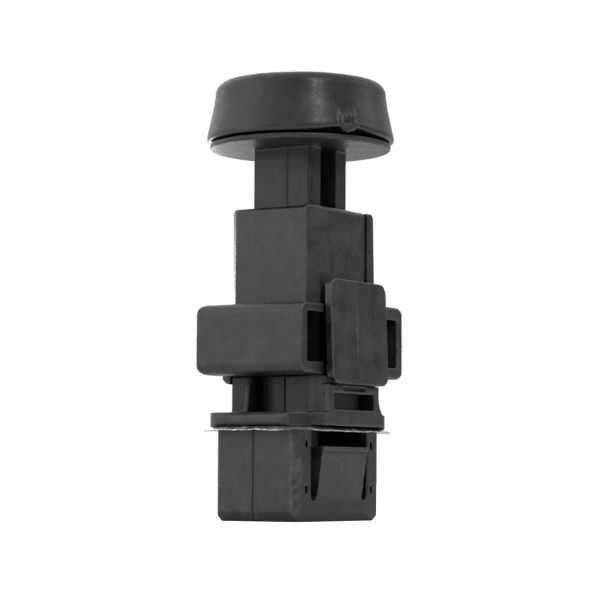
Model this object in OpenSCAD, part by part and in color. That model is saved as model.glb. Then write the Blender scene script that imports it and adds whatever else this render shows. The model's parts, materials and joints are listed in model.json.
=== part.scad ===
// Hood plunger switch: a push-in panel switch with a square plunger, a soft bumper cap,
// a bayonet collar, a sealed mounting flange and a two-blade plug socket.
// Millimetres, +Z up along the plunger axis, origin at the centre of the socket's rim.

/* [Bumper cap] */
// Height of the cap's flat top above the socket rim
cap_top_z = 69; // [68:0.5:72]
// Radius of the brim, the widest part of the cap
brim_r = 14.7; // [14.6:0.1:15.2]
// Radius of the cap's wall where it meets the shoulder
shoulder_r = 13.45; // [13:0.05:13.9]
// Radius of the rounded shoulder
shoulder_round = 1.9; // [1:0.1:2.4]

/* [Plunger] */
// Travel from released to fully pressed
travel = 9.5; // [6:0.5:9.5]
// Width of the square stem
stem_w = 10.6; // [10:0.1:10.8]
// Width of the guide channel down the stem
channel_w = 4.6; // [3.6:0.1:5]
// Radius of the head disc under the cap
disc_r = 14.25; // [13.5:0.05:14.4]
// Running clearance on each side of the stem
stem_clear = 0.08; // [0.05:0.01:0.15]

/* [Upper housing] */
// Width of the square housing
housing_w = 16.3; // [16:0.1:16.6]
// Height of the housing's top edge
housing_top_z = 48.4; // [48:0.1:49]
// Chamfer on the housing's upright corners
housing_chamfer = 1.6; // [1:0.1:2]

/* [Bayonet collar and latch] */
// Underside of the bayonet wings
wing_low_z = 22.3; // [22:0.1:22.6]
// Height of a bayonet wing
wing_h = 10.8; // [9:0.1:11.5]
// Length of a wing across the panel slot
wing_len = 19.4; // [18:0.1:20]
// Distance over the two wings
wing_span = 28.9; // [26:0.1:29]
// Wall thickness of the hollow wings
wing_wall = 1.65; // [1.2:0.05:2]
// Width of the latch arm's thumb plate
thumb_w = 16.2; // [14:0.1:16.4]
// Height of the thumb plate
thumb_h = 16; // [14:0.1:16.5]

/* [Flange and seal] */
// Flange size across the wide side
flange_len = 27.3; // [26.5:0.1:27.5]
// Flange size across the narrow side
flange_w = 18.6; // [18.4:0.1:19]
// Top face of the flange
flange_top_z = 16.6; // [16.4:0.1:16.8]
// How far the lip seal stands past the flange
lip_reach = 0.95; // [0.5:0.05:0.95]

/* [Plug socket] */
// Socket size across the wide side
socket_len = 24; // [23.6:0.1:24.4]
// Socket size across the narrow side
socket_w = 15.2; // [15:0.1:15.6]
// Wall thickness of the socket
socket_wall = 1.4; // [1.2:0.05:1.5]
// Width of a blade terminal
blade_w = 2.8; // [2.2:0.1:3]
// Thickness of a blade terminal
blade_t = 0.8; // [0.6:0.1:0.9]

/* [Return spring] */
// Outside diameter of the spring
spring_d = 7; // [6:0.1:7.2]
// Wire diameter of the spring
wire_d = 0.9; // [0.6:0.05:1]
// Number of turns
spring_turns = 9; // [7:1:10]

/* [Hidden] */
$fn = 64;
tiny = 0.01;
play = 0.05;

disc_low_z = housing_top_z + travel + 0.2;
disc_top_z = disc_low_z + 0.9;
cap_seat_z = disc_top_z + play;
brim_low_z = disc_top_z + 0.35;
core_r = 11.45;
core_top_z = cap_top_z - 2.8;
core_wall = 1.6;
bead_z = [disc_top_z + 2, disc_top_z + 2.3, disc_top_z + 3, disc_top_z + 3.3];
gate_angle = -27;

stem_low_z = 37;
stem_half = stem_w / 2;
stem_chamfer = 0.6;
stem_edge = 0.15;
channel_floor_x = 1;
pocket_r = spring_d / 2 + 0.3;
pocket_roof_z = 43;
collar_low_z = housing_top_z - 4;
lug_reach = 0.9;

housing_half = housing_w / 2;
cavity_half = 6.5;
housing_low_z = wing_low_z + play;
housing_floor_z = housing_low_z + 1;
floor_hole_r = 6.48;
rail_y = [7.05, 8.75];

wing_top_z = wing_low_z + wing_h;
wing_in_y = housing_half + play;
wing_out_y = wing_span / 2;
wing_half_len = wing_len / 2;
wing_round = 1.6;
wing_ahead = 0.15;
wing_x = [wing_ahead - wing_half_len, wing_ahead + wing_half_len];
wing_end_round = [1.2, 0.5];
key_size = 0.24;
key_rise = 0.7;
pocket_z = [wing_low_z + wing_wall + 0.2, wing_top_z - 1.4];
strap_x = [wing_x[0], -housing_half - play];
strap_low_z = 21.1;
strap_foot_x = -8;

thumb_t = 1.2;
thumb_lean = 2.15;
thumb_low_z = 20.95;
arm_pivot = [9.7, 21.2];
arm_root_r = 0.55;
frame_x = 10.3;
frame_half_y = 7.25;
leg_half_y = 7.7;
window_half_y = 5.9;
window_z = [17.1, 19.6];
frame_back_x = 1.6;
flare = 1.2;
window_wall = [[7.6, -window_half_y - tiny], [8.4, 4.6]];
neck_back_half_y = 7.1;

roof_z = 13.9;
flange_low_z = 14.4;
flange_t = flange_top_z - flange_low_z;
flange_round = 4.2;
bulge_half_y = 8.7;
bore_r = 6.5;
barrel_r = 6.4;
barrel_bore_r = 5.6;
barrel_low_z = 16.25;
block_low_z = roof_z;
block_top_z = 16.2;
potting_top_z = 17.2;

socket_half_x = socket_w / 2;
socket_half_y = socket_len / 2;
socket_round = 1.3;
lock_half_y = 8.1;
lock_low_z = 3.2;
tongue_half_y = 6.4;
tongue_top_z = 11.5;
tongue_pivot = [socket_half_x - socket_wall / 2, lock_low_z];
tongue_root_r = socket_wall / 2;
mark_r = 0.28;
mark_half_h = 0.35;
mark_depth = 0.9;

blade_tip_z = 4.5;
blade_y = 3.6;
strip_t = 0.6;
foot_z = 14.8;
riser_out_y = 5;
rail_out_y = 6.3;
jog_z = 22.4;
common_top_z = 41;
signal_top_z = 30;

washer_t = 0.5;
seat_z = potting_top_z + washer_t;
guide_r = 1.5;
guide_top_z = 31;

carrier_t = 2;
carrier_half = 5.15;
carrier_low_z = stem_low_z - carrier_t - play;
wiper_t = 0.4;
finger_half_x = 1.2;
rivet_x = 4.3;
rivet_r = 0.35;

// ---- shared shapes ----

function arc(c, r, a0, a1, n) = [for (i = [0 : n]) c + r * [cos(a0 + (a1 - a0) * i / n), sin(a0 + (a1 - a0) * i / n)]];

// Square with cut corners; the two corners on the other diagonal may be cut by another size
module cut_square(half, cut, other_cut = -1) {
  b = other_cut < 0 ? cut : other_cut;
  polygon([
    [half - cut, -half], [half, -half + cut], [half, half - b], [half - b, half],
    [-half + cut, half], [-half, half - cut], [-half, -half + b], [-half + b, -half]
  ]);
}

// Rectangle with true round corners
module round_rect(half_x, half_y, r) {
  square([2 * (half_x - r), 2 * half_y], center = true);
  square([2 * half_x, 2 * (half_y - r)], center = true);
  for (sx = [-1, 1], sy = [-1, 1]) translate([sx * (half_x - r), sy * (half_y - r)]) circle(r);
}

// Box from its two corners
module box(low, high) { translate(low) cube(high - low); }

// Upright prism between two heights
module upright(z0, z1) { translate([0, 0, z0]) linear_extrude(z1 - z0) children(); }

// Prism along X from an outline drawn as [y, z]
module along_x(x0, x1) { translate([x0, 0, 0]) rotate([90, 0, 90]) linear_extrude(x1 - x0) children(); }

// Prism along Y from an outline drawn as [x, z], between -half and +half
module along_y(half) { translate([0, half, 0]) rotate([90, 0, 0]) linear_extrude(2 * half) children(); }

// Both sides of the mirror plane Y = 0
module both_sides() {
  children();
  mirror([0, 1, 0]) children();
}

// Upright prism with its lower edge cut back
module foot_chamfer(half_x, half_y, h, back, rise) {
  intersection() {
    along_y(half_y) polygon([
      [-half_x + back, 0], [half_x - back, 0], [half_x, rise], [half_x, h], [-half_x, h], [-half_x, rise]
    ]);
    along_x(-half_x, half_x) polygon([
      [-half_y + back, 0], [half_y - back, 0], [half_y, rise], [half_y, h], [-half_y, h], [-half_y, rise]
    ]);
  }
}

// Helix of round wire with one closed turn at each end
function coil_z(u, turns, h, d) =
  u < 1 ? d / 2 + u * d
  : u > turns - 1 ? h - d / 2 - (turns - u) * d
  : d * 1.5 + (u - 1) * (h - 3 * d) / (turns - 2);

module coil(mid_r, d, h, turns) {
  sides = 8;
  per_turn = 22;
  rings = turns * per_turn;
  points = [
    for (i = [0 : rings], k = [0 : sides - 1])
      let (u = i / per_turn, a = 360 * u, b = 360 * k / sides, r = mid_r + d / 2 * cos(b))
      [r * cos(a), r * sin(a), coil_z(u, turns, h, d) + d / 2 * sin(b)]
  ];
  sleeves = [
    for (i = [0 : rings - 1], k = [0 : sides - 1])
      let (n = (k + 1) % sides, a = i * sides, b = a + sides)
      [a + k, b + k, b + n, a + n]
  ];
  near_end = [[for (k = [0 : sides - 1]) k]];
  far_end = [[for (k = [sides - 1 : -1 : 0]) rings * sides + k]];
  polyhedron(points, concat(sleeves, near_end, far_end), convexity = 10);
}

// ---- plunger group ----

module bumper_cap() {
  outline = concat(
    [[0, core_top_z + 0.1], [core_r + play, core_top_z + 0.1], [core_r + play, bead_z[3]],
     [core_r - 0.4, bead_z[2]], [core_r - 0.4, bead_z[1]], [core_r + play, bead_z[0]],
     [core_r + play, cap_seat_z], [brim_r - 1.5, cap_seat_z], [brim_r - 1.2, brim_low_z]],
    arc([brim_r - 0.45, brim_low_z + 0.45], 0.45, -90, 0, 5),
    [[brim_r, brim_low_z + 0.8], [brim_r - 0.22, brim_low_z + 1.75], [brim_r - 0.62, brim_low_z + 3.7],
     [shoulder_r + 0.25, brim_low_z + 5.7]],
    arc([shoulder_r - shoulder_round, cap_top_z - 0.2 - shoulder_round], shoulder_round, 0, 85, 7),
    [[9.5, cap_top_z], [0, cap_top_z]]
  );
  color([0.13, 0.13, 0.135]) {
    rotate_extrude() polygon(outline);
    // moulding gate left on the brim
    rotate([0, 0, gate_angle]) translate([brim_r - 1.2, 0, brim_low_z + 1.35]) rotate([0, 90, 0]) cylinder(r = 1.25, h = 1.4);
  }
}

module stem() {
  difference() {
    upright(stem_low_z, disc_low_z + tiny) cut_square(stem_half, stem_chamfer, stem_edge);
    box([channel_floor_x, -channel_w / 2, stem_low_z - 1], [stem_half + 1, channel_w / 2, disc_low_z]);
    translate([0, 0, stem_low_z - 1]) cylinder(r = pocket_r, h = pocket_roof_z - stem_low_z + 1);
    box([0.95, -stem_half - 1, collar_low_z], [stem_half - 0.9, -stem_half + 0.12, disc_low_z]);
  }
  // snap lugs that stop against the housing's guide
  box([-stem_half - lug_reach, -3, collar_low_z - 1.6], [-stem_half + tiny, 3, collar_low_z - 0.02]);
  both_sides() box([stem_half - tiny, 2.8, collar_low_z - 1.6], [stem_half + lug_reach, 4.4, collar_low_z - 0.02]);
}

module head_core() {
  difference() {
    rotate_extrude() polygon([
      [0, disc_top_z - tiny], [core_r, disc_top_z - tiny], [core_r, bead_z[0] - 0.05],
      [core_r - 0.45, bead_z[1] - 0.05], [core_r - 0.45, bead_z[2] + 0.05], [core_r, bead_z[3] + 0.05],
      [core_r, core_top_z - 0.5], [core_r - 0.5, core_top_z], [0, core_top_z]
    ]);
    difference() {
      translate([0, 0, disc_top_z + 0.6]) cylinder(r = core_r - core_wall, h = core_top_z);
      for (a = [0, 90]) rotate([0, 0, a]) box([-core_r, -0.7, disc_top_z], [core_r, 0.7, core_top_z]);
      cylinder(r = 3, h = core_top_z);
    }
  }
}

module plunger() {
  color([0.11, 0.11, 0.115]) {
    stem();
    rotate_extrude() polygon([
      [0, disc_low_z], [disc_r - 0.25, disc_low_z], [disc_r, disc_low_z + 0.25],
      [disc_r, disc_top_z - 0.2], [disc_r - 0.2, disc_top_z], [0, disc_top_z]
    ]);
    head_core();
  }
}

module contact_carrier() {
  color([0.75, 0.72, 0.62]) difference() {
    upright(carrier_low_z, stem_low_z - play) cut_square(carrier_half, stem_chamfer);
    translate([0, 0, carrier_low_z - 1]) cylinder(r = pocket_r + 0.1, h = carrier_t + 2);
    for (sx = [-1, 1]) translate([sx * rivet_x, sx * rivet_x, carrier_low_z - 1]) cylinder(r = rivet_r + play, h = carrier_t + 2);
  }
}

// One sprung finger that reaches out to the contact rail
module finger() {
  along_x(-finger_half_x, finger_half_x) polygon([
    [carrier_half - 1, carrier_low_z - play], [carrier_half - 0.1, carrier_low_z - play],
    [rail_out_y - strip_t - 0.03, carrier_low_z - 0.75], [rail_out_y - strip_t - 0.03, carrier_low_z - 1.05],
    [rail_out_y - strip_t - 0.25, carrier_low_z - 1.35], [rail_out_y - strip_t - 0.45, carrier_low_z - 1.1],
    [rail_out_y - strip_t - 0.35, carrier_low_z - 0.85], [carrier_half - 0.25, carrier_low_z - play - wiper_t],
    [carrier_half - 1, carrier_low_z - play - wiper_t]
  ]);
}

module contact_wiper() {
  color([0.78, 0.5, 0.25]) {
    difference() {
      upright(carrier_low_z - play - wiper_t, carrier_low_z - play) cut_square(carrier_half - 0.15, stem_chamfer);
      translate([0, 0, carrier_low_z - 2]) cylinder(r = pocket_r + 0.2, h = 3);
      for (sx = [-1, 1]) translate([sx * rivet_x, sx * rivet_x, carrier_low_z - 2]) cylinder(r = rivet_r + play, h = 3);
    }
    both_sides() finger();
  }
}

module wiper_rivets() {
  head_low = carrier_low_z - play - wiper_t - 0.35;
  color([0.85, 0.83, 0.78]) for (sx = [-1, 1]) translate([sx * rivet_x, sx * rivet_x, 0]) {
    translate([0, 0, head_low]) cylinder(r = rivet_r + 0.25, h = 0.34);
    translate([0, 0, head_low]) cylinder(r = rivet_r, h = carrier_low_z + carrier_t - head_low - 0.1);
  }
}

module contact_tips() {
  color([0.9, 0.9, 0.88]) both_sides()
    translate([0, rail_out_y - strip_t - 0.46, carrier_low_z - 1.62])
      rotate([0, 90, 0]) translate([0, 0, -0.9]) cylinder(r = 0.24, h = 1.8);
}

module return_spring() {
  color([0.7, 0.7, 0.72]) translate([0, 0, seat_z + 0.02])
    coil((spring_d - wire_d) / 2, wire_d, pocket_roof_z - seat_z - 0.04, spring_turns);
}

module spring_washer() {
  color([0.75, 0.75, 0.77]) difference() {
    translate([0, 0, potting_top_z]) cylinder(r = spring_d / 2 + 0.4, h = washer_t);
    translate([0, 0, potting_top_z - 1]) cylinder(r = guide_r + 0.1, h = 2);
  }
}

module spring_guide_pin() {
  color([0.7, 0.7, 0.72]) rotate_extrude() polygon([
    [0, block_low_z + 0.6], [guide_r, block_low_z + 0.6], [guide_r, guide_top_z - 0.6],
    [guide_r - 0.6, guide_top_z], [0, guide_top_z]
  ]);
}

// ---- fixed group ----

module upper_housing() {
  color([0.14, 0.14, 0.145]) difference() {
    union() {
      intersection() {
        upright(housing_low_z, housing_top_z) cut_square(housing_half, housing_chamfer);
        for_top_edge();
      }
      // guide rail on one corner, thicker towards its foot
      along_x(housing_half - 1.9, housing_half + 0.1) polygon([
        [rail_y[0], wing_top_z + play], [rail_y[1] + 0.5, wing_top_z + play],
        [rail_y[1], housing_top_z - 0.6], [rail_y[1] - 0.6, housing_top_z], [rail_y[0], housing_top_z]
      ]);
    }
    upright(housing_floor_z, collar_low_z) cut_square(cavity_half, 0.8);
    translate([0, 0, housing_low_z - 1]) cylinder(r = floor_hole_r, h = housing_floor_z - housing_low_z + 1.1);
    difference() {
      upright(collar_low_z - 1, housing_top_z + 1) cut_square(stem_half + stem_clear, stem_chamfer - 0.05, stem_edge - 0.05);
      // key that runs in the stem's channel
      box([channel_floor_x + 0.15, -channel_w / 2 + 0.1, collar_low_z], [cavity_half, channel_w / 2 - 0.1, housing_top_z - 0.4]);
    }
    // upright groove beside the rail
    box([housing_half - 0.9, rail_y[0] - 0.8, wing_top_z - 2], [housing_half + 1, rail_y[0] - 0.05, housing_top_z + 1]);
  }
}

// Envelope that cuts the housing's top edge
module for_top_edge() {
  soft = 0.45;
  foot_z0 = housing_low_z - 1;
  h = housing_half;
  outline = [
    [-h, foot_z0], [h, foot_z0], [h, housing_top_z - soft],
    [h - soft, housing_top_z], [-h + soft, housing_top_z], [-h, housing_top_z - soft]
  ];
  intersection() {
    along_y(h + 1) polygon(outline);
    along_x(-h - 1, h + 1) polygon(outline);
  }
}

// Outline of one wing as [y, z], rounded on its outer corners
module wing_outline(out_y, top_z) {
  r = wing_round;
  polygon(concat(
    [[wing_in_y, wing_low_z]],
    arc([out_y - r, wing_low_z + r], r, -90, 0, 8),
    arc([out_y - r, top_z - r], r, 0, 90, 8),
    [[wing_in_y, top_z]]
  ));
}

// Outline of one wing as [x, z], rounder at its back end than at the latch end
module wing_side(low_x, high_x, top_z) {
  back = wing_end_round[0];
  front = wing_end_round[1];
  polygon(concat(
    arc([low_x + back, wing_low_z + back], back, 180, 270, 8),
    arc([high_x - front, wing_low_z + front], front, 270, 360, 8),
    arc([high_x - front, top_z - front], front, 0, 90, 8),
    arc([low_x + back, top_z - back], back, 90, 180, 8)
  ));
}

// Hollow wing, with a web across the middle; more and rise make it longer and taller
module wing(more = 0, rise = 0) {
  low_x = wing_x[0];
  high_x = wing_x[1] + more;
  out_y = wing_out_y + more;
  top_z = wing_top_z + rise;
  web_x = [high_x - 6.2, high_x - 5];
  difference() {
    intersection() {
      along_x(low_x, high_x) wing_outline(out_y, top_z);
      along_y(out_y) wing_side(low_x, high_x, top_z);
    }
    for (x = [[low_x - 1, web_x[0]], [web_x[1], high_x + 1]])
      box([x[0], wing_in_y - 1, pocket_z[0]], [x[1], out_y - wing_wall, pocket_z[1]]);
  }
}

module mounting_collar() {
  color([0.15, 0.15, 0.155]) {
    // the +Y wing is a little larger, which keys the switch to its cut-out
    wing(key_size, key_rise);
    mirror([0, 1, 0]) wing();
    // strap behind the housing that ties the wings together
    along_y(7.4) polygon([
      [strap_x[0], strap_low_z + 0.8], [strap_x[0] + 0.7, strap_low_z + 0.15], [strap_x[0] + 1.3, strap_low_z],
      [strap_foot_x, strap_low_z], [strap_foot_x, wing_low_z], [strap_x[1], wing_low_z],
      [strap_x[1], wing_top_z - 1], [strap_x[0], wing_top_z - 1]
    ]);
    both_sides() box([strap_x[0], 7.4 - tiny, wing_low_z + 1.3], [strap_x[1], wing_in_y + 0.6, wing_top_z - 1.3]);
  }
}

module latch_arm() {
  color([0.13, 0.13, 0.135]) {
    // thumb plate, leaning out towards its foot
    translate([frame_x + 0.05, 0, thumb_low_z]) rotate([0, -thumb_lean, 0])
      translate([0, 0, thumb_h / 2]) rotate([90, 0, 90]) linear_extrude(thumb_t) round_rect(thumb_w / 2, thumb_h / 2, 1.7);
    // root web that bends behind the plate
    along_y(5) polygon(concat(
      arc(arm_pivot, arm_root_r, 180, 360, 12),
      [[arm_pivot[0] + arm_root_r + 0.3, 22.4], [arm_pivot[0] + arm_root_r + 0.2, 25], [arm_pivot[0] - 0.1, 25], [arm_pivot[0] - arm_root_r, 23]]
    ));
  }
}

// Frame on the latch side of the neck, with its window and the seat of the latch arm
module latch_frame() {
  bar_top_z = 20.9;
  bar_back_x = frame_x - 1.2;
  both_sides() {
    // leg with a bowed outer face, turned in at both ends
    upright(flange_top_z - tiny, wing_low_z) polygon([
      [frame_back_x, window_half_y], [frame_back_x, leg_half_y - 0.9], [frame_back_x + 0.9, leg_half_y - 0.15],
      [4, leg_half_y], [6.3, leg_half_y], [7.6, leg_half_y - 0.17], [8.6, leg_half_y - 0.5],
      [9.4, leg_half_y - 0.95], [frame_x - 0.35, leg_half_y - 1.4], [frame_x - 0.35, window_half_y]
    ]);
    box([frame_x - 1, window_half_y, flange_top_z - tiny], [frame_x, frame_half_y, bar_top_z]);
  }
  // foot of the frame, flared on the side of the larger wing
  along_x(frame_x - 1.3, frame_x) polygon([
    [frame_half_y - tiny, flange_top_z - tiny], [frame_half_y + flare, flange_top_z - tiny],
    [frame_half_y + 0.4, flange_top_z + 1], [frame_half_y - tiny, flange_top_z + 2.4]
  ]);
  // wall behind part of the window
  box([window_wall[0][0], window_wall[0][1], flange_top_z - tiny], [window_wall[1][0], window_wall[1][1], 21.3 + tiny]);
  // sill under the window, bar over it with a shallow groove, and cross plate at the top
  box([bar_back_x, -window_half_y - tiny, flange_top_z - tiny], [frame_x, window_half_y + tiny, window_z[0]]);
  difference() {
    box([bar_back_x, -frame_half_y, window_z[1]], [frame_x, frame_half_y, bar_top_z]);
    box([frame_x - 0.5, -3.4, window_z[1] + 0.5], [frame_x + 1, 3.2, window_z[1] + 0.95]);
  }
  box([4.4, -frame_half_y, 21.3], [8.6, frame_half_y, wing_low_z]);
}

// Thin gusset beside the neck opening
module gusset() {
  along_x(-3.9, -3.15) polygon([[7, flange_top_z - tiny], [9.75, flange_top_z - tiny], [8.8, wing_low_z], [7, wing_low_z]]);
}

module neck() {
  difference() {
    union() {
      box([-7.9, -neck_back_half_y, flange_top_z - tiny], [-3.2, neck_back_half_y, wing_low_z]);
      latch_frame();
      both_sides() gusset();
    }
    translate([0, 0, flange_top_z - 1]) cylinder(r = bore_r, h = 10);
    // groove in which the latch arm's root turns
    translate([arm_pivot[0], 5.1, arm_pivot[1]]) rotate([90, 0, 0]) cylinder(r = arm_root_r + play, h = 10.2);
  }
}

module flange() {
  difference() {
    upright(roof_z - tiny, flange_low_z + tiny) round_rect(socket_half_x, socket_half_y, socket_round);
    translate([0, 0, roof_z - 1]) cylinder(r = bore_r, h = 5);
  }
  difference() {
    union() {
      intersection() {
        upright(flange_low_z, flange_top_z) round_rect(flange_w / 2, flange_len / 2, flange_round);
        translate([0, 0, flange_low_z]) foot_chamfer(flange_w / 2, flange_len / 2, flange_t, 0.5, 0.5);
        translate([0, 0, flange_top_z]) mirror([0, 0, 1]) foot_chamfer(flange_w / 2, flange_len / 2, flange_t, 0.6, 0.6);
      }
      // the side under the latch frame bulges out to carry it
      upright(flange_low_z + 0.2, flange_top_z) polygon([
        [flange_w / 2 - 2, -12.6], [frame_x, -bulge_half_y], [frame_x, bulge_half_y], [flange_w / 2 - 2, 12.6]
      ]);
    }
    translate([0, 0, roof_z - 1]) cylinder(r = bore_r, h = 5);
  }
}

// Window in the socket wall around the lock tongue, with round-ended side slots
module lock_window() {
  x0 = socket_half_x - socket_wall - 0.5;
  slot_r = (lock_half_y - tongue_half_y) / 2;
  along_x(x0, socket_half_x + 1) {
    polygon([
      [-tongue_half_y - tiny, lock_low_z + slot_r], [-lock_half_y, lock_low_z + slot_r], [-lock_half_y, roof_z],
      [lock_half_y, roof_z], [lock_half_y, lock_low_z + slot_r], [tongue_half_y + tiny, lock_low_z + slot_r]
    ]);
    translate([-tongue_half_y, lock_low_z]) square([2 * tongue_half_y, 2]);
    for (s = [-1, 1]) translate([s * (tongue_half_y + slot_r), lock_low_z + slot_r]) circle(slot_r);
  }
  // seat in which the tongue's root turns
  translate([tongue_pivot[0], tongue_half_y + play, tongue_pivot[1]]) rotate([90, 0, 0]) cylinder(r = tongue_root_r + play, h = 2 * (tongue_half_y + play));
}

module socket_shell() {
  difference() {
    intersection() {
      upright(0, roof_z) round_rect(socket_half_x, socket_half_y, socket_round);
      foot_chamfer(socket_half_x, socket_half_y, roof_z, 0.8, 1.4);
    }
    upright(-1, roof_z + 1) round_rect(socket_half_x - socket_wall, socket_half_y - socket_wall, 0.6);
    lock_window();
    // small upright core-pin marks beside the window
    for (sy = [-1, 1], z = [4.9, 11.8])
      translate([0, sy * 9.4, z]) along_x(socket_half_x - mark_depth, socket_half_x + 0.5) {
        square([2 * mark_r, 2 * mark_half_h], center = true);
        for (s = [-1, 1]) translate([0, s * mark_half_h]) circle(mark_r);
      }
  }
}

module lower_body() {
  color([0.15, 0.15, 0.155]) {
    socket_shell();
    flange();
    neck();
  }
}

module lock_tongue() {
  foot = tongue_pivot[0];
  inner_x = foot - tongue_root_r;
  outer_x = foot + tongue_root_r;
  color([0.14, 0.14, 0.145]) along_y(tongue_half_y) polygon(concat(
    arc(tongue_pivot, tongue_root_r, 180, 360, 16),
    [[outer_x + 1.05, tongue_top_z - 0.95], [outer_x + 0.85, tongue_top_z - 0.8], [outer_x + 1.25, tongue_top_z - 0.65],
     [outer_x + 1.3, tongue_top_z - 0.15], [outer_x + 1.15, tongue_top_z], [inner_x + 0.2, tongue_top_z], [inner_x, tongue_top_z - 0.2]]
  ));
}

module lip_seal() {
  out_x = flange_w / 2 + lip_reach;
  out_y = flange_len / 2 + lip_reach;
  color([0.8, 0.8, 0.78]) difference() {
    union() {
      upright(flange_low_z - 0.6, flange_low_z - 0.02) round_rect(flange_w / 2 - 0.2, flange_len / 2 - 0.2, flange_round - 0.2);
      upright(flange_low_z - 0.85, flange_low_z - 0.35) round_rect(out_x, out_y, flange_round + lip_reach);
    }
    upright(flange_low_z - 2, flange_low_z + 1) round_rect(socket_half_x + play, socket_half_y + play, socket_round + play);
  }
}

module contact_barrel() {
  color([0.2, 0.2, 0.21]) difference() {
    translate([0, 0, barrel_low_z]) cylinder(r = barrel_r, h = wing_low_z - barrel_low_z);
    translate([0, 0, barrel_low_z - 1]) cylinder(r = barrel_bore_r, h = 10);
  }
}

// Room for both terminals where they pass through an insulator
module terminal_room(clear) {
  both_sides() {
    box([-blade_t / 2 - clear, blade_y - blade_w / 2 - clear, roof_z - 1], [blade_t / 2 + clear, blade_y + blade_w / 2 + clear, foot_z + 0.5]);
    box([-blade_w / 2 - clear, blade_y - blade_w / 2 - clear, foot_z - clear], [blade_w / 2 + clear, riser_out_y + clear, foot_z + strip_t + clear]);
    box([-blade_w / 2 - clear, riser_out_y - strip_t - clear, foot_z], [blade_w / 2 + clear, riser_out_y + clear, potting_top_z + 1]);
  }
}

module terminal_block() {
  color([0.55, 0.53, 0.5]) difference() {
    translate([0, 0, block_low_z]) cylinder(r = bore_r - play, h = block_top_z - block_low_z);
    terminal_room(0.02);
    translate([0, 0, block_low_z + 0.55]) cylinder(r = guide_r + 0.02, h = 5);
    translate([0, 0, 14.6]) difference() {
      cylinder(r = bore_r, h = 1);
      cylinder(r = 5.5, h = 1);
    }
  }
}

module block_o_ring() {
  color([0.2, 0.35, 0.6]) translate([0, 0, 15.1]) rotate_extrude() translate([6, 0]) circle(0.47);
}

module terminal_potting() {
  color([0.35, 0.3, 0.22]) difference() {
    translate([0, 0, block_top_z + play]) cylinder(r = barrel_bore_r - play, h = potting_top_z - block_top_z - 2 * play);
    terminal_room(0.02);
    cylinder(r = guide_r + 0.02, h = 30);
  }
}

// Stamped terminal: blade, foot, riser, jog and contact rail
module terminal(rail_top) {
  box([-blade_t / 2, blade_y - blade_w / 2, blade_tip_z + 1], [blade_t / 2, blade_y + blade_w / 2, foot_z + tiny]);
  along_x(-blade_t / 2, blade_t / 2) polygon([
    [blade_y - blade_w / 2 + 0.5, blade_tip_z], [blade_y + blade_w / 2 - 0.5, blade_tip_z],
    [blade_y + blade_w / 2, blade_tip_z + 1 + tiny], [blade_y - blade_w / 2, blade_tip_z + 1 + tiny]
  ]);
  box([-blade_w / 2, blade_y - blade_w / 2, foot_z], [blade_w / 2, riser_out_y, foot_z + strip_t]);
  box([-blade_w / 2, riser_out_y - strip_t, foot_z], [blade_w / 2, riser_out_y, jog_z + strip_t]);
  box([-blade_w / 2, riser_out_y - strip_t, jog_z], [blade_w / 2, rail_out_y, jog_z + strip_t]);
  box([-blade_w / 2, rail_out_y - strip_t, jog_z], [blade_w / 2, rail_out_y, rail_top]);
}

module common_terminal() { color([0.8, 0.72, 0.5]) mirror([0, 1, 0]) terminal(common_top_z); }

module signal_terminal() { color([0.8, 0.72, 0.5]) terminal(signal_top_z); }

bumper_cap();
plunger();
contact_carrier();
contact_wiper();
wiper_rivets();
contact_tips();
return_spring();
spring_washer();
spring_guide_pin();
upper_housing();
mounting_collar();
latch_arm();
lower_body();
lock_tongue();
lip_seal();
contact_barrel();
terminal_block();
block_o_ring();
terminal_potting();
common_terminal();
signal_terminal();
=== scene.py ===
import json
import math

import bmesh
import bpy
import numpy as np
from mathutils import Matrix, Vector


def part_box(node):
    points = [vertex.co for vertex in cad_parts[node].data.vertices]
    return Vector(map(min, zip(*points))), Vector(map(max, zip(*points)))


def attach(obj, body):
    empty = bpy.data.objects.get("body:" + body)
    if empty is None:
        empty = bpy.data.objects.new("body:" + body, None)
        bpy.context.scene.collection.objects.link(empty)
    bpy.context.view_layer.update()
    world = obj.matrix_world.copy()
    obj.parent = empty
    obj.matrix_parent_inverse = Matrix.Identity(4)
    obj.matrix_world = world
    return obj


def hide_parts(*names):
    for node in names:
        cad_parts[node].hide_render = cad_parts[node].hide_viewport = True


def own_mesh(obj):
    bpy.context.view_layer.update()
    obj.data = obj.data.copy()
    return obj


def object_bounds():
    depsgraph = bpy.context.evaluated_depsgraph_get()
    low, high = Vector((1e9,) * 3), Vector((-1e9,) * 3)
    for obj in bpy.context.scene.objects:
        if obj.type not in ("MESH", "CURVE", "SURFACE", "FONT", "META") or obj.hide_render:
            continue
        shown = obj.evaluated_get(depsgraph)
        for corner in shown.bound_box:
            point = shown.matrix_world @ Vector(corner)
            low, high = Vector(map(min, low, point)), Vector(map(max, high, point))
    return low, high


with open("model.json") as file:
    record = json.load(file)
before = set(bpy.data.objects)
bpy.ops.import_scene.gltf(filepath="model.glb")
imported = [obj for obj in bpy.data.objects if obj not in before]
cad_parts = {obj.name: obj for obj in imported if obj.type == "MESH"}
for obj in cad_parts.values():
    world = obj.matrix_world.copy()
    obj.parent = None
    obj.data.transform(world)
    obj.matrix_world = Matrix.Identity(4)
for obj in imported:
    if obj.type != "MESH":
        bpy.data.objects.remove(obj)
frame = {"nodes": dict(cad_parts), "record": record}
cad_low, cad_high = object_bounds()

MM = 0.001
BEHAVIOUR = frame["record"]["behaviour"]
BODY_OF = {node: body for body, nodes in BEHAVIOUR["bodies"].items() for node in nodes}


# ---- camera -------------------------------------------------------------------------------------
# Azimuth 0 looks along +Y. It grows as the camera walks round towards +X.

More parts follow.
